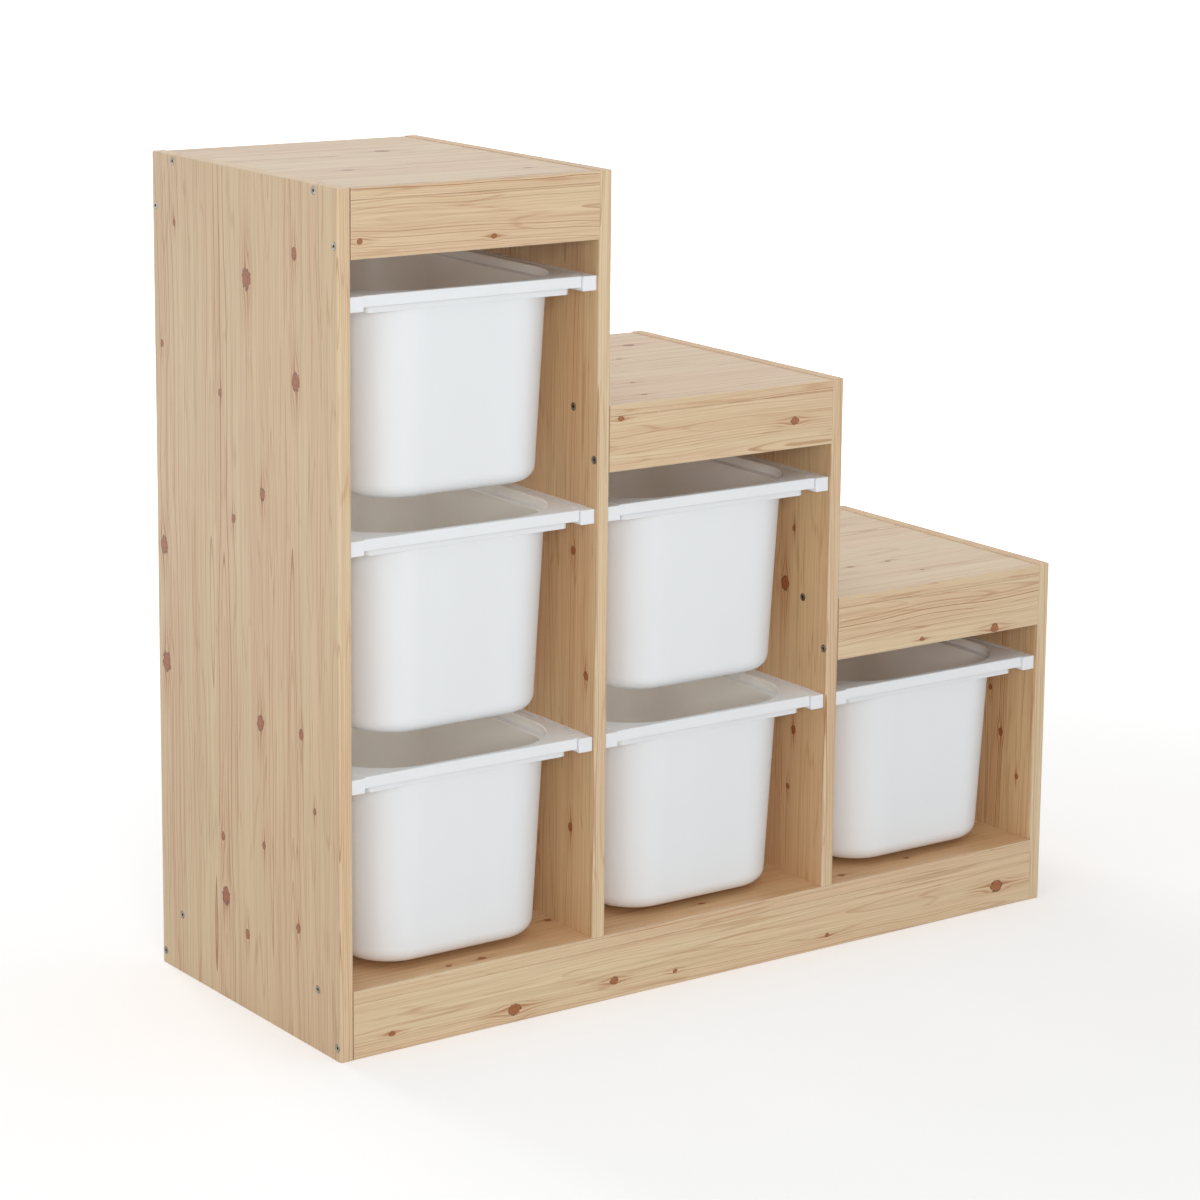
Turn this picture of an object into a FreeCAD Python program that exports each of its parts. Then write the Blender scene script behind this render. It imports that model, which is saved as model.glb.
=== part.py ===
import FreeCAD, Part
import math
import os
import re

import Sketcher

# A stepped storage unit of pine boards: three bays of falling height, with white bins that hang by
# their rims on rails and pull out to the front. Millimetres, +Z up, front towards -Y. The origin is
# on the floor, in the middle of the width and the depth.

DRIVING_SIZES = (
    ("overall_width", 940, "outer side panel to outer side panel"),
    ("overall_depth", 375, "front edge to back edge of the panels"),
    ("overall_height", 885, "tallest bay"),
    ("step_height", 243, "one step down, and one bin up"),
    ("board_thickness", 15, "upright panels"),
    ("board_round", 2.5, "rounded long edges of the upright panels"),
    ("top_thickness", 12, "the three top boards"),
    ("top_recess", 0.6, "top boards below the panel ends"),
    ("shelf_thickness", 14, "bottom shelf"),
    ("brace_thickness", 14, "aprons and plinths"),
    ("brace_height", 58, "aprons and plinths"),
    ("brace_round", 1.2, "rounded edges of aprons, plinths, tops and shelf"),
    ("joint_gap", 0.3, "between board ends and panels"),
    ("screw_diameter", 5, "board screws, shank"),
    ("screw_head", 9, "board screws, countersunk head"),
    ("screw_length", 50, "board screws, head included"),
    ("screw_inset", 45, "top and shelf screws from the front and back edges"),
    ("brace_screw_rise", 14, "apron and plinth screws above the lower edge"),
    ("pin_diameter", 3, "rail screws, shank"),
    ("pin_head", 6, "rail screws, countersunk head"),
    ("pin_length", 11.5, "rail screws, head included"),
    ("pin_inset", 40, "outermost rail screws from the ends of the rail"),
    ("rail_drop", 107.5, "top of a panel to the top of its first rail"),
    ("rail_height", 15.5, "rail, top to bottom"),
    ("rail_width", 17, "rail, from the panel to its inner edge"),
    ("rail_web", 6, "upright part of the rail"),
    ("rail_ledge", 4, "flat part that the bin slides on"),
    ("rail_back", 10, "rail end to the back edge of the panels"),
    ("cap_setback", 4, "front of the bin's end caps behind the panel edges"),
    ("cap_length", 16, "end caps, front to back"),
    ("cap_round", 0.9, "rounded edges of the end caps"),
    ("cap_gap", 0.8, "end cap to the bin's front lip"),
    ("slide_gap", 1, "bin rim to the rail's upright part"),
    ("rest_gap", 0.4, "end caps clear of the panel and of the rail end"),
    ("bin_height", 213, "rim to underside"),
    ("bin_length", 345, "rim, front to back"),
    ("bin_wall", 2.2, "bin walls, rim and lips"),
    ("bin_draft", 3, "taper of the tub walls in degrees"),
    ("lip_setback", 7, "bin's front lip behind the panel edges"),
    ("mouth_front", 7.5, "front lip to the edge of the mouth"),
    ("mouth_side", 11, "rim edge to the edge of the mouth"),
    ("mouth_corner", 74, "plan radius of the mouth"),
    ("tier_ledge", 10.5, "width of the side ledges inside the mouth"),
    ("tier_clear", 0.3, "underside of those ledges above the rails' ledges"),
    ("tier_front", 1.5, "width of the ledges at the front and back"),
    ("tub_corner", 64, "plan radius of the tub at the ledge"),
    ("tub_foot", 16, "rounding between walls and underside"),
    ("rim_round", 1.3, "rounded edges of the rim and the mouth"),
    ("skirt_drop", 7.5, "square corners under the rim, below its lip"),
    ("skirt_corner", 7, "plan radius of those corners"),
    ("tongue_width", 7, "tongue that carries an end cap"),
    ("tongue_height", 6, "tongue that carries an end cap"),
    ("tongue_length", 10, "tongue inside its end cap"),
)

DERIVED_SIZES = (
    ("bay_width", "(overall_width - 4 * board_thickness) / 3"),
    ("bay_half", "bay_width / 2"),
    ("board_length", "bay_width - 2 * joint_gap"),
    ("base_length", "overall_width - 2 * board_thickness - 2 * joint_gap"),
    ("shelf_top", "brace_height + shelf_thickness"),
    ("second_height", "overall_height - step_height"),
    ("third_height", "overall_height - 2 * step_height"),
    ("screw_bite", "screw_length - board_thickness"),
    ("shelf_bite", "screw_length - shelf_thickness"),
    ("screw_recess", "screw_diameter / 2"),
    ("brace_screw", "brace_thickness / 2"),
    ("back_brace_screw", "overall_depth - brace_thickness / 2"),
    ("back_screw", "overall_depth - screw_inset"),
    ("apron_drop", "top_recess + top_thickness + brace_height"),
    ("apron_screw_drop", "apron_drop - brace_screw_rise"),
    ("top_screw_drop", "top_recess + top_thickness / 2"),
    ("shelf_screw_level", "brace_height + shelf_thickness / 2"),
    ("pin_bite", "pin_length - rail_web"),
    ("pin_recess", "pin_diameter / 2"),
    ("lip_height", "rail_height - rail_ledge"),
    ("pin_drop", "lip_height / 2"),
    ("rail_front", "cap_setback + cap_length + rest_gap"),
    ("rail_end", "overall_depth - rail_back"),
    ("rail_length", "rail_end - rail_front"),
    ("cap_width", "rail_width - rest_gap"),
    ("cap_back", "cap_setback + cap_length"),
    ("notch_half", "bay_half - rail_width - cap_gap"),
    ("notch_back", "cap_back + cap_gap"),
    ("rim_half", "bay_half - rail_web - slide_gap"),
    ("rim_back", "lip_setback + bin_length"),
    ("lip_inner_half", "rim_half - bin_wall"),
    ("lip_inner_notch", "notch_half - bin_wall"),
    ("lip_inner_front", "lip_setback + bin_wall"),
    ("lip_inner_notch_back", "notch_back + bin_wall"),
    ("lip_inner_back", "rim_back - bin_wall"),
    ("mouth_half", "rim_half - mouth_side"),
    ("mouth_near", "lip_setback + mouth_front"),
    ("mouth_far", "rim_back - mouth_front"),
    ("tier_floor", "lip_height - tier_clear"),
    ("tier_depth", "tier_floor - bin_wall"),
    ("tier_half", "mouth_half + bin_wall"),
    ("tier_near", "mouth_near - bin_wall"),
    ("tier_far", "mouth_far + bin_wall"),
    ("tier_corner", "mouth_corner + bin_wall"),
    ("hollow_half", "mouth_half - tier_ledge"),
    ("hollow_near", "mouth_near + tier_front"),
    ("hollow_far", "mouth_far - tier_front"),
    ("hollow_corner", "tub_corner - bin_wall"),
    ("hollow_depth", "bin_height - bin_wall - tier_depth"),
    ("hollow_foot", "tub_foot - bin_wall"),
    ("tub_half", "hollow_half + bin_wall"),
    ("tub_near", "hollow_near - bin_wall"),
    ("tub_far", "hollow_far + bin_wall"),
    ("tub_depth", "bin_height - tier_depth"),
    ("skirt_bottom", "lip_height + skirt_drop"),
    ("skirt_inner_half", "tub_half - bin_wall"),
    ("skirt_inner_near", "tub_near + bin_wall"),
    ("skirt_inner_far", "tub_far - bin_wall"),
    ("skirt_inner_corner", "skirt_corner - bin_wall"),
    ("tongue_middle", "rim_half - (bin_wall + tongue_width) / 2"),
    ("tongue_inner", "tongue_middle - tongue_width / 2"),
    ("tongue_outer", "tongue_middle + tongue_width / 2"),
    ("tongue_front", "cap_back - tongue_length"),
    ("tongue_top", "(lip_height - tongue_height) / 2"),
)

# Lengths in millimetres closer than this count as equal when edges and points are looked up.
SAME = 1e-3

# Degrees. At this angle a screw head is as deep as its rim stands out past the shank.
COUNTERSINK = 90

doc = FreeCAD.newDocument("storage_unit")
sheet = doc.addObject("Spreadsheet::Sheet", "sizes")


def fill_sheet():
    """Writes the driving sizes and the sizes that follow from them, each with its name."""
    line = 0
    for name, value, meaning in DRIVING_SIZES:
        line += 1
        sheet.set(f"A{line}", name)
        sheet.set(f"B{line}", str(value))
        sheet.setAlias(f"B{line}", name)
        sheet.set(f"C{line}", meaning)
    for name, formula in DERIVED_SIZES:
        line += 1
        sheet.set(f"A{line}", name)
        sheet.set(f"B{line}", "=" + formula)
        sheet.setAlias(f"B{line}", name)
    doc.recompute()


fill_sheet()


def bound(formula):
    """The formula with each name in it read from the sheet."""
    return re.sub(r"[a-z]\w*", lambda found: "sizes." + found.group(0), formula)


def number(formula):
    """The formula's present value in millimetres or degrees."""
    return float(sheet.evalExpression(bound(formula)))


# ---- sketches ----


def new_sketch(body, role, level="0"):
    """A sketch on one of the body's origin planes, moved along that plane's normal by level."""
    plane = next(item for item in body.Origin.OriginFeatures if item.Role == role)
    sketch = body.newObject("Sketcher::SketchObject", "sketch")
    sketch.AttachmentSupport = [(plane, "")]
    sketch.MapMode = "FlatFace"
    sketch.setExpression(".AttachmentOffset.Base.z", bound(level))
    return sketch


def name_size(sketch, constraint, formula):
    """Adds a dimension and binds it to its formula."""
    index = sketch.addConstraint(constraint)
    name = f"size{index}"
    sketch.renameConstraint(index, name)
    sketch.setExpression(f"Constraints.{name}", bound(formula))


def fix(sketch, geometry, point, x=None, y=None):
    """Places one point of the geometry at the formulas x and y, measured from the sketch's origin."""
    for kind, axis, formula in (("DistanceX", -2, x), ("DistanceY", -1, y)):
        if formula is None:
            continue
        value = number(formula)
        if abs(value) < SAME:
            sketch.addConstraint(Sketcher.Constraint("PointOnObject", geometry, point, axis))
        elif value > 0:
            name_size(sketch, Sketcher.Constraint(kind, -1, 1, geometry, point, value), formula)
        else:
            away = Sketcher.Constraint(kind, geometry, point, -1, 1, -value)
            name_size(sketch, away, f"-({formula})")


def square_outline(sketch, corners):
    """A closed outline of level and upright lines through corners given as pairs of formulas."""
    first = sketch.GeometryCount
    points = [FreeCAD.Vector(number(x), number(y), 0) for x, y in corners]
    count = len(points)
    for index in range(count):
        line = Part.LineSegment(points[index], points[(index + 1) % count])
        sketch.addGeometry(line, False)
    for index in range(count):
        line = first + index
        following = first + (index + 1) % count
        sketch.addConstraint(Sketcher.Constraint("Coincident", line, 2, following, 1))
        if abs(points[index].y - points[(index + 1) % count].y) < SAME:
            sketch.addConstraint(Sketcher.Constraint("Horizontal", line))
            fix(sketch, line, 1, y=corners[index][1])
        else:
            sketch.addConstraint(Sketcher.Constraint("Vertical", line))
            fix(sketch, line, 1, x=corners[index][0])


def rectangle(sketch, left, right, low, high):
    """A plain rectangle between four formulas."""
    square_outline(sketch, ((left, low), (right, low), (right, high), (left, high)))


def rounded_rectangle(sketch, half_width, near, far, corner):
    """A rectangle with round corners, centred on the sketch's upright axis."""
    first = sketch.GeometryCount
    half, low, high, radius = (number(item) for item in (half_width, near, far, corner))
    inner = half - radius
    lines = (
        (-inner, low, inner, low),
        (half, low + radius, half, high - radius),
        (inner, high, -inner, high),
        (-half, high - radius, -half, low + radius),
    )
    for x1, y1, x2, y2 in lines:
        sketch.addGeometry(Part.LineSegment(FreeCAD.Vector(x1, y1, 0), FreeCAD.Vector(x2, y2, 0)), False)
    centres = ((inner, low + radius), (inner, high - radius), (-inner, high - radius), (-inner, low + radius))
    up = FreeCAD.Vector(0, 0, 1)
    for index, (x, y) in enumerate(centres):
        circle = Part.Circle(FreeCAD.Vector(x, y, 0), up, radius)
        start = math.radians(90 * index - 90)
        sketch.addGeometry(Part.ArcOfCircle(circle, start, start + math.pi / 2), False)
    for index in range(4):
        line = first + index
        arc = first + 4 + index
        following = first + (index + 1) % 4
        sketch.addConstraint(Sketcher.Constraint("Tangent", line, 2, arc, 1))
        sketch.addConstraint(Sketcher.Constraint("Tangent", arc, 2, following, 1))
        sketch.addConstraint(Sketcher.Constraint("Horizontal" if index % 2 == 0 else "Vertical", line))
        if index > 0:
            sketch.addConstraint(Sketcher.Constraint("Equal", first + 4, arc))
    name_size(sketch, Sketcher.Constraint("Radius", first + 4, radius), corner)
    fix(sketch, first, 1, y=near)
    fix(sketch, first + 2, 1, y=far)
    fix(sketch, first + 1, 1, x=half_width)
    fix(sketch, first + 3, 1, x=f"-({half_width})")


def circles(sketch, centres, diameter):
    """Equal circles at centres given as pairs of formulas."""
    first = sketch.GeometryCount
    up = FreeCAD.Vector(0, 0, 1)
    for x, y in centres:
        middle = FreeCAD.Vector(number(x), number(y), 0)
        circle = sketch.addGeometry(Part.Circle(middle, up, number(diameter) / 2), False)
        fix(sketch, circle, 3, x, y)
        if circle == first:
            name_size(sketch, Sketcher.Constraint("Diameter", circle, number(diameter)), diameter)
        else:
            sketch.addConstraint(Sketcher.Constraint("Equal", first, circle))


# ---- features ----


def new_body(label, x="0", y="0", z="0"):
    """A body with its own origin, placed in the unit by formulas."""
    body = doc.addObject("PartDesign::Body", label)
    body.Label = label
    for axis, formula in (("x", x), ("y", y), ("z", z)):
        body.setExpression(f".Placement.Base.{axis}", bound(formula))
    return body


def swept(body, kind, sketch, length, backwards=False, draft=None):
    """A pad or a pocket of the sketch, with an optional draft."""
    feature = body.newObject(f"PartDesign::{kind}", kind.lower())
    feature.Profile = sketch
    feature.setExpression("Length", bound(length))
    feature.Reversed = backwards
    if draft is not None:
        feature.setExpression("TaperAngle", bound(draft))
    sketch.Visibility = False
    doc.recompute()
    return feature


def pad(body, sketch, length, **options):
    before = body.Shape.Volume if body.Shape and not body.Shape.isNull() else 0
    feature = swept(body, "Pad", sketch, length, **options)
    if feature.Shape.Volume <= before:
        raise ValueError(f"{body.Label}: a pad adds nothing")
    return feature


def pocket(body, sketch, length, **options):
    before = body.Shape.Volume
    feature = swept(body, "Pocket", sketch, length, **options)
    if feature.Shape.Volume >= before:
        raise ValueError(f"{body.Label}: a pocket removes nothing")
    return feature


def round_edges(body, radius, chosen):
    """Rounds the edges of the body's last feature for which chosen(edge) holds."""
    base = body.Tip
    names = [f"Edge{index}" for index, edge in enumerate(base.Shape.Edges, 1) if chosen(edge)]
    if not names:
        raise ValueError(f"{body.Label}: no edge to round")
    fillet = body.newObject("PartDesign::Fillet", "fillet")
    fillet.Base = (base, names)
    fillet.setExpression("Radius", bound(radius))
    doc.recompute()
    return fillet


def in_plane(axis, level):
    """Chooses edges that lie wholly at one level of the x, y or z axis."""
    low, high = f"{axis}Min", f"{axis}Max"

    def chosen(edge):
        box = edge.BoundBox
        return abs(getattr(box, low) - level) < SAME and abs(getattr(box, high) - level) < SAME

    return chosen


# ---- boards ----


def board(label, length, depth, thickness, place, ends, below=()):
    """A board with round long edges and blind screw holes in both ends. The holes are pairs of
    formulas (from the board's front, from its underside). Holes below go up through it."""
    body = new_body(label, *place)
    outline = new_sketch(body, "YZ_Plane")
    rectangle(outline, "0", depth, "0", thickness)
    pad(body, outline, length)
    middle = number(length) / 2

    def long_edge(edge):
        return edge.BoundBox.XLength > middle

    round_edges(body, "brace_round", long_edge)
    for level, backwards in (("0", True), (length, False)):
        holes = new_sketch(body, "YZ_Plane", level)
        circles(holes, ends, "screw_diameter")
        pocket(body, holes, "screw_bite - joint_gap", backwards=backwards)
    if below:
        holes = new_sketch(body, "XY_Plane")
        circles(holes, below, "screw_diameter")
        countersink(body, holes, "screw_diameter", "screw_head", backwards=True)
    return body


def countersink(body, sketch, diameter, head, backwards=False):
    """Through holes at the sketch's circles, countersunk on the sketch's side."""
    before = body.Shape.Volume
    hole = body.newObject("PartDesign::Hole", "hole")
    hole.Profile = sketch
    doc.recompute()
    hole.Reversed = backwards
    hole.Threaded = False
    hole.DepthType = "ThroughAll"
    hole.setExpression("Diameter", bound(diameter))
    hole.HoleCutType = "Countersink"
    hole.setExpression("HoleCutDiameter", bound(head))
    hole.HoleCutCountersinkAngle = COUNTERSINK
    sketch.Visibility = False
    doc.recompute()
    if hole.Shape.Volume >= before:
        raise ValueError(f"{body.Label}: a hole removes nothing")


def upright(label, centre, foot, height, left_screws, right_screws, pin_levels, foot_holes=False):
    """An upright panel with round long edges. Screws enter from its left and right faces at pairs
    of formulas (from the front edge, from the floor). pin_levels gives, for each side, the levels
    of the rails whose small screws bite into that side."""
    body = new_body(label, centre, "-overall_depth / 2", foot)
    outline = new_sketch(body, "XY_Plane")
    rounded_rectangle(outline, "board_thickness / 2", "0", "overall_depth", "board_round")
    pad(body, outline, f"{height} - {foot}")
    sides = (("-board_thickness / 2", left_screws, True), ("board_thickness / 2", right_screws, False))
    for level, screws, backwards in sides:
        if screws:
            holes = new_sketch(body, "YZ_Plane", level)
            circles(holes, [(y, f"{z} - ({foot})") for y, z in screws], "screw_diameter")
            countersink(body, holes, "screw_diameter", "screw_head", backwards=backwards)
    for (level, screws, backwards), levels in zip(sides, pin_levels):
        if levels:
            holes = new_sketch(body, "YZ_Plane", level)
            spots = [(y, f"{z} - ({foot})") for z in levels for y in PIN_PLACES]
            circles(holes, spots, "pin_diameter")
            pocket(body, holes, "pin_bite", backwards=backwards)
    if foot_holes:
        holes = new_sketch(body, "XY_Plane")
        circles(holes, [("0", "screw_inset"), ("0", "back_screw")], "screw_diameter")
        pocket(body, holes, "shelf_bite", backwards=True)
    return body


# Where the rail screws lie, from the front edge of the panels.
PIN_PLACES = (
    "rail_front + pin_inset",
    "(rail_front + rail_end) / 2",
    "rail_end - pin_inset",
)

BAY_TOPS = ("overall_height", "second_height", "third_height")
BAY_BINS = (3, 2, 1)


def bay_middle(bay):
    return f"({bay - 1}) * (bay_width + board_thickness)"


def panel_middle(panel):
    return f"({panel - 1.5}) * (bay_width + board_thickness)"


def rail_tops(bay):
    """Levels of the tops of a bay's rails, from the highest bin down."""
    return [f"{BAY_TOPS[bay]} - rail_drop - {row} * step_height" for row in range(BAY_BINS[bay])]


def screw_spots(top):
    """Screws of a top board and its two aprons, in the panel beside them."""
    return [
        ("screw_inset", f"{top} - top_screw_drop"),
        ("back_screw", f"{top} - top_screw_drop"),
        ("brace_screw", f"{top} - apron_screw_drop"),
        ("back_brace_screw", f"{top} - apron_screw_drop"),
    ]


BASE_SPOTS = [
    ("screw_inset", "shelf_screw_level"),
    ("back_screw", "shelf_screw_level"),
    ("brace_screw", "brace_screw_rise"),
    ("back_brace_screw", "brace_screw_rise"),
]


def carcass():
    """The four uprights, the shelf they stand on, and the boards between them."""
    names = ("left_side_panel", "tall_upright", "middle_upright", "right_side_panel")
    heights = (BAY_TOPS[0], BAY_TOPS[0], BAY_TOPS[1], BAY_TOPS[2])
    for panel, (name, height) in enumerate(zip(names, heights)):
        outer = panel in (0, 3)
        entering_left = screw_spots(BAY_TOPS[panel]) if panel < 3 else []
        entering_right = screw_spots(BAY_TOPS[panel - 1]) if panel > 0 else []
        if panel == 0:
            entering_left = entering_left + BASE_SPOTS
        if panel == 3:
            entering_right = entering_right + BASE_SPOTS
        pins_left = [f"{top} - pin_drop" for top in rail_tops(panel - 1)] if panel > 0 else []
        pins_right = [f"{top} - pin_drop" for top in rail_tops(panel)] if panel < 3 else []
        upright(
            name,
            panel_middle(panel),
            "0" if outer else "shelf_top",
            height,
            entering_left,
            entering_right,
            (pins_left, pins_right),
            foot_holes=not outer,
        )

    names = ("tall", "middle", "low")
    for bay, (name, top) in enumerate(zip(names, BAY_TOPS)):
        left = f"{bay_middle(bay)} - board_length / 2"
        front = "-overall_depth / 2"
        back = "overall_depth / 2 - brace_thickness"
        level = f"{top} - top_recess - top_thickness"
        middle = "top_thickness / 2"
        top_ends = [("screw_inset", middle), ("back_screw", middle)]
        board(f"{name}_top_board", "board_length", "overall_depth", "top_thickness",
              (left, front, level), top_ends)
        brace_ends = [("brace_screw", "brace_screw_rise")]
        for side, depth in (("front", front), ("back", back)):
            board(f"{name}_{side}_apron", "board_length", "brace_thickness", "brace_height",
                  (left, depth, f"{top} - apron_drop"), brace_ends)

    left = "-base_length / 2"
    shelf_ends = [("screw_inset", "shelf_thickness / 2"), ("back_screw", "shelf_thickness / 2")]
    feet = []
    for panel in (1, 2):
        along = f"base_length / 2 + {panel_middle(panel)}"
        feet += [(along, "screw_inset"), (along, "back_screw")]
    board("bottom_shelf", "base_length", "overall_depth", "shelf_thickness",
          (left, "-overall_depth / 2", "brace_height"), shelf_ends, below=feet)
    for side, depth in (("front", "-overall_depth / 2"), ("back", "overall_depth / 2 - brace_thickness")):
        board(f"{side}_plinth", "base_length", "brace_thickness", "brace_height",
              (left, depth, "0"), [("brace_screw", "brace_screw_rise")])


# ---- rails and bins ----


def rail(label, bay, side, top):
    """An L-shaped rail: an upright part against the panel and a ledge towards the bay."""
    body = new_body(label, f"{bay_middle(bay)} + ({side}) * bay_half", "-overall_depth / 2", top)
    section = new_sketch(body, "XZ_Plane", "-rail_front")
    inward = -side
    web = f"({inward}) * rail_web"
    edge = f"({inward}) * rail_width"
    corners = (
        ("0", "0"),
        ("0", "-rail_height"),
        (edge, "-rail_height"),
        (edge, "-lip_height"),
        (web, "-lip_height"),
        (web, "0"),
    )
    square_outline(section, corners)
    pad(body, section, "rail_length", backwards=True)
    holes = new_sketch(body, "YZ_Plane", web)
    circles(holes, [(y, "-pin_drop") for y in PIN_PLACES], "pin_diameter")
    countersink(body, holes, "pin_diameter", "pin_head", backwards=side > 0)
    return body


def bin_tub(label, bay, top):
    """A bin: a rim with turned-down lips, a shallow wider tier inside its mouth, square corners
    under the rim, and a deep tapering tub with large round corners."""
    body = new_body(label, bay_middle(bay), "-overall_depth / 2", top)

    rim = new_sketch(body, "XY_Plane")
    square_outline(rim, notched("notch_half", "rim_half", "lip_setback", "notch_back", "rim_back"))
    pad(body, rim, "lip_height", backwards=True)
    under_rim = new_sketch(body, "XY_Plane", "-lip_height")
    inner_corners = notched(
        "lip_inner_notch", "lip_inner_half", "lip_inner_front", "lip_inner_notch_back", "lip_inner_back"
    )
    square_outline(under_rim, inner_corners)
    pocket(body, under_rim, "lip_height - bin_wall", backwards=True)

    tier = new_sketch(body, "XY_Plane")
    rounded_rectangle(tier, "tier_half", "tier_near", "tier_far", "tier_corner")
    pad(body, tier, "tier_floor", backwards=True)

    skirt = new_sketch(body, "XY_Plane")
    rounded_rectangle(skirt, "tub_half", "tub_near", "tub_far", "skirt_corner")
    pad(body, skirt, "skirt_bottom", backwards=True)
    under_skirt = new_sketch(body, "XY_Plane", "-skirt_bottom")
    rounded_rectangle(
        under_skirt, "skirt_inner_half", "skirt_inner_near", "skirt_inner_far", "skirt_inner_corner"
    )
    pocket(body, under_skirt, "skirt_bottom - tier_floor", backwards=True)

    tub = new_sketch(body, "XY_Plane", "-tier_depth")
    rounded_rectangle(tub, "tub_half", "tub_near", "tub_far", "tub_corner")
    pad(body, tub, "tub_depth", backwards=True, draft="-bin_draft")

    hollow = new_sketch(body, "XY_Plane", "-tier_depth")
    rounded_rectangle(hollow, "hollow_half", "hollow_near", "hollow_far", "hollow_corner")
    pocket(body, hollow, "hollow_depth", draft="-bin_draft")
    round_edges(body, "hollow_foot", in_plane("Z", -number("bin_height - bin_wall")))
    round_edges(body, "tub_foot", in_plane("Z", -number("bin_height")))

    mouth = new_sketch(body, "XY_Plane")
    rounded_rectangle(mouth, "mouth_half", "mouth_near", "mouth_far", "mouth_corner")
    pocket(body, mouth, "tier_depth")

    round_edges(body, "rim_round", in_plane("Z", 0))
    at_ledge = in_plane("Z", -number("tier_depth"))
    side, near, far = (number(item) for item in ("hollow_half", "hollow_near", "hollow_far"))
    rim_box = FreeCAD.BoundBox(-side, near, -number("bin_height"), side, far, 0)
    rim_box.enlarge(SAME)

    def ledge_rim(edge):
        return at_ledge(edge) and rim_box.isInside(edge.BoundBox)

    round_edges(body, "rim_round", ledge_rim)

    for side in (-1, 1):
        tongue = new_sketch(body, "XZ_Plane", "-tongue_front")
        across = sorted(("tongue_inner", "tongue_outer"), key=lambda item: side * number(item))
        left, right = (f"({side}) * {item}" for item in across)
        rectangle(tongue, left, right, "-tongue_top - tongue_height", "-tongue_top")
        pad(body, tongue, "notch_back + bin_wall / 2 - tongue_front", backwards=True)
    return body


def notched(narrow, wide, near, notch, far):
    """Corners of a rectangle whose two front corners are cut away for the end caps."""
    return (
        (f"-({narrow})", near),
        (narrow, near),
        (narrow, notch),
        (wide, notch),
        (wide, far),
        (f"-({wide})", far),
        (f"-({wide})", notch),
        (f"-({narrow})", notch),
    )


def end_cap(label, bay, side, top):
    """A small block on a front corner of a bin's rim. It has a socket for the rim's tongue, and it
    meets the end of the rail when the bin is pushed in."""
    middle = f"({side}) * (bay_half - rest_gap - cap_width / 2)"
    body = new_body(label, f"{bay_middle(bay)} + {middle}", "-overall_depth / 2 + cap_setback", top)
    outline = new_sketch(body, "XY_Plane")
    rectangle(outline, "-cap_width / 2", "cap_width / 2", "0", "cap_length")
    pad(body, outline, "rail_height", backwards=True)
    back = number("cap_length")

    def not_at_back(edge):
        return edge.BoundBox.YMin < back - SAME

    round_edges(body, "cap_round", not_at_back)
    socket = new_sketch(body, "XZ_Plane", "-cap_length")
    shift = f"(({side}) * tongue_middle - {middle})"
    rectangle(socket, f"{shift} - tongue_width / 2", f"{shift} + tongue_width / 2",
              "-tongue_top - tongue_height", "-tongue_top")
    pocket(body, socket, "tongue_length", backwards=True)
    return body


def hardware():
    """Rails and bins, bay by bay, numbered from the left bay's top bin down."""
    count = 0
    for bay in range(3):
        for top in rail_tops(bay):
            count += 1
            for side, word in ((-1, "left"), (1, "right")):
                rail(f"rail_{count}_{word}", bay, side, top)
                end_cap(f"bin_{count}_{word}_cap", bay, side, top)
            bin_tub(f"bin_{count}", bay, top)


# ---- screws ----


def screw(kind):
    """A countersunk screw along +Z from its head's face at the origin, with a square recess. The
    kind is the first word of its sizes' names."""
    head, shank, length = (number(f"{kind}_{size}") for size in ("head", "diameter", "length"))
    recess = number(f"{kind}_recess")
    head_depth = (head - shank) / 2
    tip_length = shank / 2
    outline = (
        (0, 0),
        (head / 2, 0),
        (shank / 2, head_depth),
        (shank / 2, length - tip_length),
        (0, length),
    )
    points = [FreeCAD.Vector(x, 0, z) for x, z in outline]
    face = Part.Face(Part.makePolygon(points + points[:1]))
    solid = face.revolve(FreeCAD.Vector(0, 0, 0), FreeCAD.Vector(0, 0, 1), 360)
    corner = FreeCAD.Vector(-recess / 2, -recess / 2, 0)
    return solid.cut(Part.makeBox(recess, recess, head_depth, corner))


def screw_set(label, blank, spots):
    """Copies of one screw, each at a spot (x, y, z, direction), as one object."""
    copies = []
    for x, y, z, direction in spots:
        turn = FreeCAD.Rotation(FreeCAD.Vector(0, 0, 1), FreeCAD.Vector(*direction))
        copy = blank.copy()
        copy.Placement = FreeCAD.Placement(FreeCAD.Vector(x, y, z), turn)
        copies.append(copy)
    feature = doc.addObject("Part::Feature", label)
    feature.Label = label
    feature.Shape = Part.makeCompound(copies)
    return feature


def fasteners():
    """Board screws in each panel and under the shelf, and the small screws of the rails."""
    blank = screw("screw")
    front = -number("overall_depth") / 2
    half = number("board_thickness") / 2
    names = ("left_panel_screws", "tall_upright_screws", "middle_upright_screws", "right_panel_screws")
    for panel, name in enumerate(names):
        middle = number(panel_middle(panel))
        spots = []
        for bay, side in ((panel, -1), (panel - 1, 1)):
            if 0 <= bay < 3:
                places = screw_spots(BAY_TOPS[bay]) + (BASE_SPOTS if panel in (0, 3) else [])
                for y, z in places:
                    spots.append((middle + side * half, front + number(y), number(z), (-side, 0, 0)))
        screw_set(name, blank, spots)

    spots = []
    for panel in (1, 2):
        for y in ("screw_inset", "back_screw"):
            spots.append((number(panel_middle(panel)), front + number(y), number("brace_height"), (0, 0, 1)))
    screw_set("shelf_screws", blank, spots)

    pin = screw("pin")
    reach = number("bay_half - rail_web")
    for bay, name in enumerate(("tall", "middle", "low")):
        spots = []
        for top in rail_tops(bay):
            for side in (-1, 1):
                x = number(bay_middle(bay)) + side * reach
                for y in PIN_PLACES:
                    spots.append((x, front + number(y), number(f"{top} - pin_drop"), (side, 0, 0)))
        screw_set(f"{name}_rail_screws", pin, spots)


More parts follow.
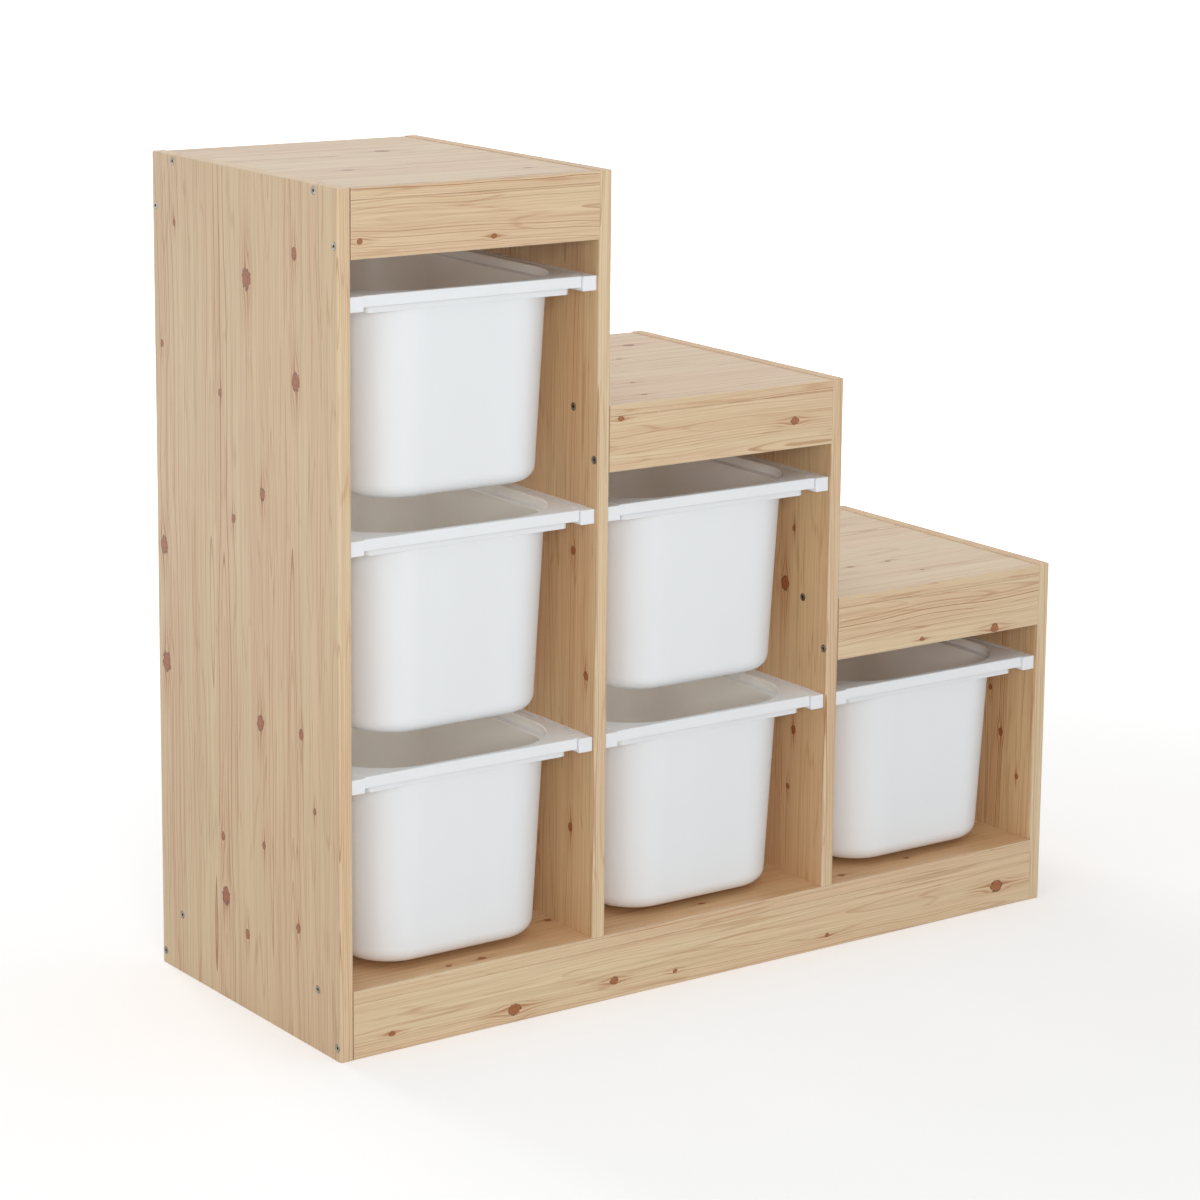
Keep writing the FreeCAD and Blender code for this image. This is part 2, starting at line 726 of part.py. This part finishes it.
# ---- checks and export ----


def export_parts():
    """Checks every object and every sub-part, and then writes one file for each sub-part."""
    doc.recompute()
    for item in doc.Objects:
        if "Invalid" in item.State or "Error" in item.State:
            raise ValueError(f"{item.Label}: {item.State}")
    parts = [item for item in doc.Objects if item.TypeId in ("PartDesign::Body", "Part::Feature")]
    for item in parts:
        if item.Shape.isNull() or not item.Shape.isValid():
            raise ValueError(f"{item.Label}: its shape isn't valid")
    os.makedirs("parts", exist_ok=True)
    for item in parts:
        item.Shape.exportStep(f"parts/{item.Label}.step")
        print(item.Label, round(item.Shape.Volume), len(item.Shape.Solids))


carcass()
hardware()
fasteners()
export_parts()
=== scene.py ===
import math

import bpy
from mathutils import Matrix, Vector


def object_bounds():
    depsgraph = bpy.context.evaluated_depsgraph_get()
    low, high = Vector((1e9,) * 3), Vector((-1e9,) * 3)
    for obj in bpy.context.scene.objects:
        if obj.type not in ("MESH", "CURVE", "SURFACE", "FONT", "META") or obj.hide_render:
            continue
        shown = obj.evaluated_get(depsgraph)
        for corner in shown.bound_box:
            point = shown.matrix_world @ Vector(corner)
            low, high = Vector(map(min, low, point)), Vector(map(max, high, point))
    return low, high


# The looks of a stepped storage unit: pine boards with grain and knots, white moulded bins on white
# rails, and steel screws. Metres, +Z up, front towards -Y, as in the frame.

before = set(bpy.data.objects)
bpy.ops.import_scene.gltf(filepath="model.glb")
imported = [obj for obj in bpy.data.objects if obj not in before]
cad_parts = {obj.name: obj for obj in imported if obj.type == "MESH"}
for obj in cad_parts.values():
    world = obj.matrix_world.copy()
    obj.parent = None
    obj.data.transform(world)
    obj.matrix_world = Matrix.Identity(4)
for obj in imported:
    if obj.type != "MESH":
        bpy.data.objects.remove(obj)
cad_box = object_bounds()


# ---- camera ----

PHOTO_SIDE = 1200  # pixels
FOCAL_LENGTH = 3542  # pixels
AXIS_PIXEL = (720, 440)  # where the camera's axis meets the photograph
CAMERA_PLACE = (-2.2117, -3.1076, 1.2994)
CAMERA_HEADING = 37.08  # degrees from +Y towards +X
CAMERA_DIP = 10.95  # degrees below the horizon
CAMERA_ROLL = 0.93  # degrees
SENSOR_WIDTH = 36  # millimetres


def make_camera():
    """A camera at the photograph's place, with its axis off the middle as the photo's crop has it."""
    heading, dip, roll = (math.radians(a) for a in (CAMERA_HEADING, CAMERA_DIP, CAMERA_ROLL))
    level_side = Vector((math.cos(heading), -math.sin(heading), 0))
    forward = Vector((math.sin(heading) * math.cos(dip), math.cos(heading) * math.cos(dip), -math.sin(dip)))
    level_up = level_side.cross(forward)
    side = math.cos(roll) * level_side + math.sin(roll) * level_up
    up = -math.sin(roll) * level_side + math.cos(roll) * level_up
    data = bpy.data.cameras.new("camera")
    data.sensor_width = SENSOR_WIDTH
    data.lens = FOCAL_LENGTH / PHOTO_SIDE * SENSOR_WIDTH
    data.shift_x = 0.5 - AXIS_PIXEL[0] / PHOTO_SIDE
    data.shift_y = AXIS_PIXEL[1] / PHOTO_SIDE - 0.5
    camera = bpy.data.objects.new("camera", data)
    turn = Matrix((side, up, -forward)).transposed().to_4x4()
    camera.matrix_world = Matrix.Translation(CAMERA_PLACE) @ turn
    bpy.context.scene.collection.objects.link(camera)
    bpy.context.scene.camera = camera


make_camera()


# ---- shader building ----

EDGE_SAMPLES = 3  # rays that look for an edge near each point


class Field:
    """A number that varies over a surface. Ordinary arithmetic on it adds nodes to its shader."""

    def __init__(self, shader, socket):
        self.shader = shader
        self.socket = socket

    def __add__(self, other):
        return self.shader.math("ADD", self, other)

    def __sub__(self, other):
        return self.shader.math("SUBTRACT", self, other)

    def __mul__(self, other):
        return self.shader.math("MULTIPLY", self, other)

    def __truediv__(self, other):
        return self.shader.math("DIVIDE", self, other)

    def __pow__(self, other):
        return self.shader.math("POWER", self, other)


class Shader:
    """The nodes of a material or world under construction. Its methods add nodes and give back their
    outputs."""

    def __init__(self, owner):
        owner.use_nodes = True
        self.owner = owner
        self.tree = owner.node_tree
        self.tree.nodes.clear()

    def node(self, kind, **settings):
        """A new node of the kind, with its settings."""
        made = self.tree.nodes.new("ShaderNode" + kind)
        for name, value in settings.items():
            setattr(made, name, value)
        return made

    def feed(self, socket, value):
        """Links a field or an output to the socket, or sets the socket to a plain value."""
        if isinstance(value, Field):
            value = value.socket
        if isinstance(value, bpy.types.NodeSocket):
            self.tree.links.new(value, socket)
        else:
            socket.default_value = value

    def math(self, operation, *values):
        """A field worked out from fields and plain numbers."""
        node = self.node("Math", operation=operation)
        for socket, value in zip(node.inputs, values):
            self.feed(socket, value)
        return Field(self, node.outputs[0])

    def places(self):
        """The surface point's x, y and z in the frame."""
        point = self.node("TexCoord").outputs["Object"]
        split = self.node("SeparateXYZ")
        self.feed(split.inputs[0], point)
        return {axis: Field(self, split.outputs[index]) for index, axis in enumerate("XYZ")}

    def vector(self, x, y, z):
        """Three fields or numbers as one vector."""
        node = self.node("CombineXYZ")
        for socket, value in zip(node.inputs, (x, y, z)):
            self.feed(socket, value)
        return node.outputs[0]

    def noise(self, point, scale=1.0, detail=2.0, roughness=0.5, distortion=0.0):
        """Noise between 0 and 1, around a half."""
        node = self.node("TexNoise")
        self.feed(node.inputs["Vector"], point)
        node.inputs["Scale"].default_value = scale
        node.inputs["Detail"].default_value = detail
        node.inputs["Roughness"].default_value = roughness
        node.inputs["Distortion"].default_value = distortion
        return Field(self, node.outputs[0])

    def ramp(self, value, low, high, start=0.0, end=1.0, smooth=True):
        """start where value is low, end where it is high, and held beyond them."""
        kind = "SMOOTHSTEP" if smooth else "LINEAR"
        node = self.node("MapRange", interpolation_type=kind)
        for socket, item in zip(node.inputs, (value, low, high, start, end)):
            self.feed(socket, item)
        return Field(self, node.outputs[0])

    def distance(self, point, middle, reach):
        """Distance of point from middle, where each axis is measured in its own reach."""
        stretch = Vector([1 / item if item else 0 for item in reach])
        node = self.node("VectorMath", operation="MULTIPLY_ADD")
        self.feed(node.inputs[0], point)
        node.inputs[1].default_value = stretch
        node.inputs[2].default_value = -Vector(middle) * stretch
        length = self.node("VectorMath", operation="LENGTH")
        self.feed(length.inputs[0], node.outputs[0])
        return Field(self, length.outputs["Value"])

    def dot(self, first, second):
        """The dot product of two vectors."""
        node = self.node("VectorMath", operation="DOT_PRODUCT")
        self.feed(node.inputs[0], first)
        self.feed(node.inputs[1], second)
        return Field(self, node.outputs["Value"])

    def facing(self):
        """The direction in which the surface faces."""
        return self.node("NewGeometry").outputs["Normal"]

    def mix(self, share, first, second, blend="MIX"):
        """Two colours mixed by share."""
        node = self.node("Mix", data_type="RGBA", blend_type=blend)
        colours = [socket for socket in node.inputs if socket.type == "RGBA"]
        self.feed(node.inputs[0], share)
        self.feed(colours[0], first)
        self.feed(colours[1], second)
        return next(socket for socket in node.outputs if socket.type == "RGBA")

    def random(self, value):
        """Three numbers between 0 and 1 that depend on value alone."""
        node = self.node("TexWhiteNoise", noise_dimensions="1D")
        self.feed(node.inputs["W"], value)
        split = self.node("SeparateColor")
        self.feed(split.inputs[0], node.outputs["Color"])
        return [Field(self, output) for output in split.outputs[:3]]

    def finish(self, colour, roughness, normal=None, **settings):
        """Ends in one surface shader. settings are the values of its other sockets."""
        surface = self.node("BsdfPrincipled")
        self.feed(surface.inputs["Base Color"], colour)
        self.feed(surface.inputs["Roughness"], roughness)
        if normal is not None:
            self.feed(surface.inputs["Normal"], normal)
        for name, value in settings.items():
            self.feed(surface.inputs[name.replace("_", " ")], value)
        self.feed(self.node("OutputMaterial").inputs["Surface"], surface.outputs[0])
        return self.owner

    def eased(self, radius):
        """The normal with edges eased to radius, and a field that is 1 on edges and 0 on flats."""
        bevel = self.node("Bevel", samples=EDGE_SAMPLES)
        bevel.inputs["Radius"].default_value = radius
        turned = self.dot(bevel.outputs[0], self.facing())
        return bevel.outputs[0], self.ramp(turned, 1.0, 0.9)

    def bump(self, height, depth, normal):
        """The normal roughened by height, which stands for depth metres."""
        node = self.node("Bump")
        node.inputs["Distance"].default_value = depth
        self.feed(node.inputs["Height"], height)
        self.feed(node.inputs["Normal"], normal)
        return node.outputs["Normal"]


# ---- pine ----

# Linear colours, each with its opacity last.
PINE_EARLY = (0.77, 0.62, 0.40, 1)
PINE_LATE = (0.40, 0.195, 0.078, 1)
PINE_PINK = (0.75, 0.55, 0.355, 1)
PINE_RED = (0.42, 0.175, 0.065, 1)
KNOT_RIM = (0.13, 0.032, 0.009, 1)
KNOT_HEART = (0.44, 0.135, 0.040, 1)
# A painted highlight on the boards' eased edges.
EDGE_PAINTED_HIGHLIGHT = (0.98, 0.90, 0.76, 1)

# Painted light and shade of whole boards, which multiply the colours above behind the front edge.
PLAIN = (1.0, 1.0, 1.0, 1)
# A faint painted shade, a little warmer, on the left panel's side face.
STRAW_PAINTED_SHADE = (0.99, 0.965, 0.93, 1)
# Deep, warm painted shade on the boards inside the bays.
HONEY_PAINTED_SHADE = (0.96, 0.85, 0.73, 1)
# A painted pale sheen on the tops.
CHALK_PAINTED_SHEEN = (1.0, 1.02, 1.07, 1)

# Metres.
STRIP_WIDTH = 0.072  # boards are glued up from strips
STRIP_OFFSET = 0.013  # from one board's strips to the next board's
RING_WIDTH = 0.0029  # growth rings on the face of a strip
HEART_WIDTH = 0.0045  # half the width of the rounded tips where rings turn over in mid-strip
HEART_SPREAD = 0.060  # the width in which the hearts of strips lie
HEART_DRIFT = 0.018  # how far a heart wanders along its strip
RING_PINCH = 0.017  # how far rings draw together and apart
RING_RIPPLE = 0.0022  # how far a ring waves
EDGE_EASE = 0.0010  # radius of a board's edges
GRAIN_DEPTH = 0.00012  # how far hard rings stand out

RING_LEAN = 1.3  # rings passed on the way through a board, against those across it
RING_SLOPE = 0.06  # the spread of the same on the way along it
KNOT_SWELL = 0.85  # the share by which rings part at the middle of a knot


class Board:
    """The wood of one board: places along, across and through its grain, and its glued strips."""

    def __init__(self, name, axes, seed):
        shader = Shader(bpy.data.materials.new(name))
        place = shader.places()
        self.shader = shader
        self.seed = seed
        self.run, self.side, self.deep = (place[axis] for axis in axes)
        self.behind_front = place["Y"] - cad_box[0].y
        offset = seed * STRIP_OFFSET
        self.strip = shader.math("FLOOR", (self.side + offset) / STRIP_WIDTH)
        self.off_middle = self.side - ((self.strip + 0.5) * STRIP_WIDTH - offset)
        self.shift, self.shade, self.tilt = shader.random(self.strip + seed * 17.0)

    def grain(self, across, along, offset, side=None, through=None, **quality):
        """Noise that is stretched along the grain. across, through and along are in waves a metre."""
        side = side or self.side
        through = through or across
        point = self.shader.vector(side * across, self.deep * through, self.run * along + offset)
        return self.shader.noise(point, **quality)


def from_knot(shader, flat, spot, length, width):
    """Distance from a knot, where 1 is an ellipse so many of the knot's radii long and wide."""
    run, side, radius = spot
    return shader.distance(flat, (run, side, 0), (radius * length, radius * width, 0))


def knots_in(board, spots):
    """How far the knots push the rings aside, the knots' own field, which rises from 0 at their
    outlines to 1 in their middles, the flames along the grain from them, and fine ragged noise."""
    shader = board.shader
    flat = shader.vector(board.run, board.side, 0.0)
    ragged_place = shader.vector(board.run * 170.0, board.side * 240.0, board.seed)
    ragged = shader.noise(ragged_place, detail=4.0, roughness=0.7)
    parting = knot = flame = 0.0
    for spot in spots:
        beside = from_knot(shader, flat, spot, 6.0, 3.0)
        push = (board.side - spot[1]) * shader.ramp(beside, 1.0, 0.0, 0.0, KNOT_SWELL)
        parting = shader.math("ADD", parting, push)
        outline = from_knot(shader, flat, spot, 1.3, 1.0) + (ragged - 0.5) * 1.4
        knot = shader.math("MAXIMUM", knot, shader.ramp(outline, 1.0, 0.0, smooth=False))
        stretched = from_knot(shader, flat, spot, 9.0, 1.8)
        flame = shader.math("MAXIMUM", flame, shader.ramp(stretched, 1.0, 0.1))
    return parting, knot, flame, ragged


def growth_rings(board, parting):
    """The place across each ring from 0 to 1, the rings' dark late wood, and the weight of each."""
    shader = board.shader
    seed = board.seed
    pinch = (board.grain(5.0, 4.2, board.shift * 7.0 + seed * 3.1, detail=1.5) - 0.5) * RING_PINCH
    ripple = (board.grain(40.0, 14.0, seed * 5.7, detail=2.5) - 0.5) * RING_RIPPLE
    drift_place = shader.vector(board.run * 2.3, board.shift * 9.0, seed)
    drift = (shader.noise(drift_place, detail=1.0) - 0.5) * HEART_DRIFT
    off_heart = board.off_middle - (board.shift - 0.5) * HEART_SPREAD - parting + drift
    spread_out = (off_heart * off_heart + HEART_WIDTH * HEART_WIDTH) ** 0.5
    sloped = board.run * (board.tilt - 0.5) * RING_SLOPE
    rings = (spread_out + board.deep * RING_LEAN + sloped + pinch + ripple) / RING_WIDTH
    ring = shader.math("FLOOR", rings)
    phase = rings - ring
    weight, blur = shader.random(ring + board.strip * 31.0 + seed * 7.0)[:2]
    late = shader.ramp(phase, blur * 0.45 + 0.30, 0.93) * shader.ramp(phase, 1.0, 0.95)
    return phase, late, weight


def knot_wood(shader, knot, ragged):
    """The colour of the knots, with dark rims and rings."""
    ring = shader.math("PINGPONG", knot * 4.0 + ragged, 1.0)
    colour = shader.mix(shader.ramp(knot, 0.05, 0.45), KNOT_RIM, KNOT_HEART)
    return shader.mix(ring * 0.55, colour, KNOT_RIM)


def pine(name, axes, seed, painted_light_tone, spots):
    """Pine with its grain along the first of three axes, its width along the second and its thickness
    along the third. Behind the front edge its colour is multiplied by painted_light_tone, painted light
    and shade of the whole board. spots are knots: (along, across, radius) in metres. They go through the
    board."""
    board = Board(name, axes, seed)
    shader = board.shader
    parting, knot, flame, ragged = knots_in(board, spots)
    phase, late, weight = growth_rings(board, parting)
    normal, on_edges = shader.eased(EDGE_EASE)

    fibre = board.grain(1300.0, 30.0, board.shift * 9.0, roughness=0.6)
    thread = board.grain(430.0, 4.5, board.shift * 5.0)
    patch = board.grain(30.0, 2.2, seed * 1.7)
    streak = shader.ramp(board.grain(150.0, 2.4, seed, through=90.0, detail=1.5), 0.58, 0.74)
    vein_offset = board.shift * 3.0 + seed
    vein_level = board.grain(55.0, 4.0, vein_offset, side=board.side - parting, detail=1.0)
    vein = shader.ramp(shader.math("ABSOLUTE", vein_level - 0.5), 0.028, 0.0)
    vein = vein * shader.ramp(thread, 0.35, 0.6)
    strength = shader.ramp(patch, 0.35, 0.65, 0.5, 1.1) * (weight ** 4.0 * 1.1 + 0.16)
    strength = strength * (board.tilt + 0.5)
    flame_line = shader.ramp(phase, 0.25, 0.8) * shader.ramp(phase, 1.0, 0.92)
    glued = shader.ramp(board.off_middle / STRIP_WIDTH, 0.485, 0.5)

    pinkness = shader.ramp(patch, 0.35, 0.65, 0.0, 0.65) + board.shade * 0.35
    colour = shader.mix(pinkness, PINE_EARLY, PINE_PINK)
    layers = (
        (late * strength, PINE_LATE),
        (streak * 0.2, PINE_RED),
        (vein * 0.38, PINE_RED),
        (glued * (board.shade * 0.5), PINE_LATE),
        ((fibre - 0.5) * 0.42 + (thread - 0.5) * 0.72 + 0.11, PINE_LATE),
        (flame * (flame_line * 0.75 + 0.10), PINE_RED),
        (shader.ramp(knot, 0.0, 0.12, 0.0, 0.92), knot_wood(shader, knot, ragged)),
        # A painted highlight along the edges.
        (on_edges * 0.75, EDGE_PAINTED_HIGHLIGHT),
    )
    for share, over in layers:
        colour = shader.mix(share, colour, over)
    # Painted light and shade of the whole board behind its front edge.
    colour = shader.mix(shader.ramp(board.behind_front, 0.001, 0.006), colour, painted_light_tone, "MULTIPLY")

    roughness = shader.ramp(late * 0.6 + fibre * 0.4, 0.0, 1.0, 0.42, 0.30, smooth=False)
    normal = shader.bump(late * 0.5 + fibre * 0.35 + knot * 0.4, GRAIN_DEPTH, normal)
    return shader.finish(colour, roughness, normal, Specular_IOR_Level=0.42)


def dress(node, material):
    """Puts the material on a node of the frame."""
    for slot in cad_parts[node].material_slots:
        slot.material = material


def in_frame(spots, axes):
    """Knots given in millimetres from the unit's left end, front edge and floor, as metres in the
    frame."""
    origin = {"X": cad_box[0].x, "Y": cad_box[0].y, "Z": 0.0}
    return [
        (along / 1000 + origin[axes[0]], across / 1000 + origin[axes[1]], radius / 1000)
        for along, across, radius in spots
    ]


# Knots of each board: along the grain, across it and radius. Millimetres from the unit's left end,
# front edge and floor.
KNOTS = {
    "left_side_panel": (
        (812, 83, 5.5), (775, 178, 9), (815, 328, 3), (684, 81, 8), (650, 235, 3.5), (684, 358, 3.5),
        (559, 149, 5.5), (523, 209, 4), (467, 359, 8), (340, 357, 9), (325, 75, 4.5), (318, 157, 7),
        (251, 49, 3), (189, 152, 3.5), (177, 238, 4), (119, 83, 4.5), (113, 233, 8), (83, 188, 4.5),
    ),
    "tall_upright": (
        (483, 43, 4), (354, 18, 4), (183, 44, 4), (700, 150, 7), (560, 240, 5), (260, 300, 6),
    ),
    "middle_upright": (
        (402, 77, 7), (239, 57, 4), (467, 63, 3), (172, 65, 3), (300, 250, 6), (560, 200, 5),
    ),
    "right_side_panel": (
        (188, 58, 4), (142, 28, 3), (238, 78, 3), (300, 180, 7), (120, 260, 8), (60, 120, 4),
    ),
    "tall_top_board": ((90, 130, 5), (210, 260, 7), (260, 60, 4)),
    "middle_top_board": ((497, 230, 3), (424, 101, 3), (392, 36, 3), (560, 300, 6)),
    "low_top_board": ((737, 111, 3), (792, 111, 3), (797, 56, 2.5), (850, 290, 7)),
    "bottom_shelf": (
        (178, 14, 4), (137, 14, 3), (302, 77, 4), (472, 29, 3), (661, 21, 4), (762, 29, 3),
        (120, 220, 7), (560, 260, 6), (840, 300, 8),
    ),
    "tall_front_apron": ((25, 832, 3), (180, 827, 2.8)),
    "middle_front_apron": ((565, 602, 4.5), (337, 627, 3)),
    "low_front_apron": ((859, 334, 5), (752, 336, 2.5)),
    "tall_back_apron": ((110, 850, 5), (250, 838, 3)),
    "middle_back_apron": ((400, 590, 5), (520, 610, 3)),
    "low_back_apron": ((700, 350, 4), (820, 340, 6)),
    "front_plinth": (
        (209, 14, 6.5), (336, 20, 4.5), (874, 26, 7), (60, 19, 3), (416, 15, 2.5), (625, 15, 2.5),
    ),
    "back_plinth": ((150, 30, 6), (520, 22, 5), (760, 35, 7)),
}


def dress_boards():
    """Every board has wood of its own, with its grain along its length."""
    for seed, (node, spots) in enumerate(KNOTS.items(), 1):
        # The boards inside the bays get deep, warm painted shade, the left panel's side a faint painted
        # shade, the tops a painted pale sheen, and the aprons and plinths none.
        if node.endswith(("panel", "upright")):
            axes = "ZYX"
            painted_light_tone = STRAW_PAINTED_SHADE if node.startswith("left") else HONEY_PAINTED_SHADE
        elif node.endswith("shelf"):
            axes = "XYZ"
            painted_light_tone = HONEY_PAINTED_SHADE
        elif node.endswith("board"):
            axes = "XYZ"
            painted_light_tone = CHALK_PAINTED_SHEEN
        else:
            axes = "XZY"
            painted_light_tone = PLAIN
        dress(node, pine(f"pine_{node}", axes, seed, painted_light_tone, in_frame(spots, axes)))


dress_boards()


# ---- plastic and steel ----

BIN_WHITE = (0.865, 0.89, 0.91, 1)
# Painted bounce light: a lighter, warmer white on the faces inside the bins.
BIN_INSIDE_PAINTED_LIGHT = (0.98, 0.945, 0.895, 1)
RAIL_WHITE = (0.87, 0.89, 0.925, 1)
SCUFF = (0.62, 0.62, 0.60, 1)
STEEL = (0.42, 0.39, 0.34, 1)
STEEL_STAIN = (0.22, 0.20, 0.165, 1)
# Near-black painted shade on the screws' edges and in their recesses.
STEEL_PAINTED_SHADE = (0.006, 0.005, 0.004, 1)

# Metres.
BAY_PITCH = 0.30833  # from one bay's middle to the next
BIN_MIDDLE = -0.008  # where a bin's middle stands in the depth
BOARD_THICKNESS = 0.015
MOULDED_EASE = 0.0006  # radius of moulded edges
MOULDED_DEPTH = 0.00003  # how far the skin of mouldings stands out
SCREW_EASE = 0.0007  # radius of a screw's edges
SCREW_DEPTH = 0.00002  # how deep its turning marks are


def towards_middle(shader, place):
    """1 where the surface looks towards the middle of its bin, and 0 where it looks away."""
    bay = shader.math("ROUND", place["X"] / BAY_PITCH)
    from_middle = shader.vector(place["X"] - bay * BAY_PITCH, place["Y"] - BIN_MIDDLE, 0.0)
    return shader.ramp(shader.dot(shader.facing(), from_middle), 0.0, -0.02)


def plastic(name, colour, roughness, seed, inside_painted_light=None):
    """Moulded plastic: a fine skin, slow flow marks along the draw, and lightly rubbed edges.
    inside_painted_light is a lighter, warmer colour painted on the faces that look towards the middle of
    their bin, as painted bounce light."""
    shader = Shader(bpy.data.materials.new(name))
    place = shader.places()
    x, y, z = (place[axis] for axis in "XYZ")
    skin = shader.noise(shader.vector(x, y, z), scale=900.0, detail=1.0)
    flow = shader.noise(shader.vector(x * 14.0, y * 14.0, z * 3.0 + seed), detail=3.0)
    scratch_place = shader.vector(x * 40.0, y * 240.0, z * 240.0 + seed)
    scratch = shader.ramp(shader.noise(scratch_place), 0.66, 0.74)
    normal, on_edges = shader.eased(MOULDED_EASE)
    # Painted bounce light on the faces inside the bin.
    if inside_painted_light:
        colour = shader.mix(towards_middle(shader, place), colour, inside_painted_light)
    colour = shader.mix(shader.ramp(flow, 0.3, 0.7, 0.0, 0.06), colour, SCUFF)
    colour = shader.mix(on_edges * 0.10, colour, SCUFF)
    gloss = shader.ramp(flow, 0.3, 0.7, roughness - 0.04, roughness + 0.05) + scratch * 0.12
    normal = shader.bump(skin * 0.7 + flow * 2.0, MOULDED_DEPTH, normal)
    return shader.finish(colour, gloss, normal, Specular_IOR_Level=0.45)


def below_panel_face(shader, x):
    """How deep a point of a screw lies under the nearer face of the panel that the screw goes through."""
    from_left_face = shader.math("MODULO", x - cad_box[0].x, BAY_PITCH)
    from_right_face = from_left_face * -1.0 + BOARD_THICKNESS
    return shader.math("MINIMUM", from_left_face, from_right_face)


def steel():
    """Zinc-plated steel with turning marks, and painted shade on its edges and in its recesses."""
    shader = Shader(bpy.data.materials.new("screw_steel"))
    place = shader.places()
    point = shader.vector(place["X"], place["Y"], place["Z"])
    grain = shader.noise(point, scale=2200.0)
    stain = shader.noise(point, scale=160.0)
    painted_recess_shade = shader.ramp(below_panel_face(shader, place["X"]), 0.0002, 0.0008)
    normal, edge = shader.eased(SCREW_EASE)
    colour = shader.mix(shader.ramp(stain, 0.35, 0.7), STEEL, STEEL_STAIN)
    # Painted shade on the edges of the screw heads.
    colour = shader.mix(edge, colour, STEEL_PAINTED_SHADE)
    # Painted shade in the recesses, deeper than the panel's face.
    colour = shader.mix(painted_recess_shade, colour, STEEL_PAINTED_SHADE)
    gloss = shader.ramp(grain, 0.3, 0.7, 0.32, 0.50)
    normal = shader.bump(grain, SCREW_DEPTH, normal)
    return shader.finish(colour, gloss, normal, Metallic=1.0)


def dress_hardware():
    """Bins, rails with the bins' end caps, and screws each have one material."""
    bins = plastic("bin_plastic", BIN_WHITE, 0.36, 1.0, BIN_INSIDE_PAINTED_LIGHT)
    rails = plastic("rail_plastic", RAIL_WHITE, 0.30, 2.0)
    screws = steel()
    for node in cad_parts:
        if node.endswith("_screws"):
            dress(node, screws)
        elif node.startswith("rail_") or node.endswith("_cap"):
            dress(node, rails)
        elif node.startswith("bin_"):
            dress(node, bins)


dress_hardware()


# ---- floor and light ----

FLOOR_SIDE = 120.0  # metres
FLOOR_COLOUR = (0.83, 0.83, 0.83, 1)
FLOOR_ROUGHNESS = 0.9
FLOOR_GLOW = 0.29  # light that the eye gets from the floor near the object, which keeps its shadow
GLOW_START = 0.8  # metres from the object's middle, where the floor starts to turn white
GLOW_END = 3.0  # metres, where it is white
WHITE = (1, 1, 1, 1)
AMBIENT = 0.52  # brightness of the surroundings as they light the object

# Square lamps that look at one place: where they stand and their sides in metres, and watts.
LAMP_TARGET = (0, 0, 0.4)
LAMPS = {
    "key": ((-2.3, -3.95, 1.6), 1.3, 65),
    "top": ((-0.3, -0.8, 4.0), 3.0, 20),
    "back": ((-0.3, 4.1, 1.7), 1.8, 78),
}
DIFFUSE_BOUNCES = 12  # light finds its way into the bins only by many


def seen(shader):
    """1 for rays that show the background, to the camera or in glossy and clear surfaces, else 0."""
    path = shader.node("LightPath")
    rays = [Field(shader, path.outputs[f"Is {kind} Ray"]) for kind in ("Camera", "Glossy", "Transmission")]
    return shader.math("MAXIMUM", shader.math("MAXIMUM", rays[0], rays[1]), rays[2])


def make_floor():
    """A plain pale floor. Away from the object it is white to the eye, and near it keeps its shadow."""
    mesh = bpy.data.meshes.new("floor")
    half = FLOOR_SIDE / 2
    corners = [(-half, -half, 0), (half, -half, 0), (half, half, 0), (-half, half, 0)]
    mesh.from_pydata(corners, [], [(0, 1, 2, 3)])
    floor = bpy.data.objects.new("floor", mesh)
    bpy.context.scene.collection.objects.link(floor)
    shader = Shader(bpy.data.materials.new("floor"))
    away = shader.distance(shader.node("TexCoord").outputs["Object"], (0, 0, 0), (1, 1, 1))
    glow = shader.ramp(away, GLOW_START, GLOW_END, FLOOR_GLOW, 1.0)
    material = shader.finish(
        FLOOR_COLOUR,
        FLOOR_ROUGHNESS,
        Specular_IOR_Level=0.0,
        Emission_Color=WHITE,
        Emission_Strength=seen(shader) * glow,
    )
    mesh.materials.append(material)


def make_lamp(name, place, side, power):
    """A square lamp that looks at the lamps' target."""
    data = bpy.data.lights.new(name, "AREA")
    data.shape = "SQUARE"
    data.size = side
    data.energy = power
    lamp = bpy.data.objects.new(name, data)
    lamp.location = place
    lamp.rotation_mode = "QUATERNION"
    lamp.rotation_quaternion = (Vector(LAMP_TARGET) - Vector(place)).to_track_quat("-Z", "Y")
    bpy.context.scene.collection.objects.link(lamp)


def make_world():
    """Surroundings that look white and light the object softly."""
    shader = Shader(bpy.data.worlds.new("studio"))
    surface = shader.node("Background")
    shader.feed(surface.inputs["Color"], WHITE)
    shader.feed(surface.inputs["Strength"], seen(shader) * (1 - AMBIENT) + AMBIENT)
    shader.feed(shader.node("OutputWorld").inputs["Surface"], surface.outputs[0])
    bpy.context.scene.world = shader.owner


make_floor()
for name, settings in LAMPS.items():
    make_lamp(name, *settings)
make_world()
bpy.context.scene.view_settings.view_transform = "Standard"
bpy.context.scene.cycles.diffuse_bounces = DIFFUSE_BOUNCES
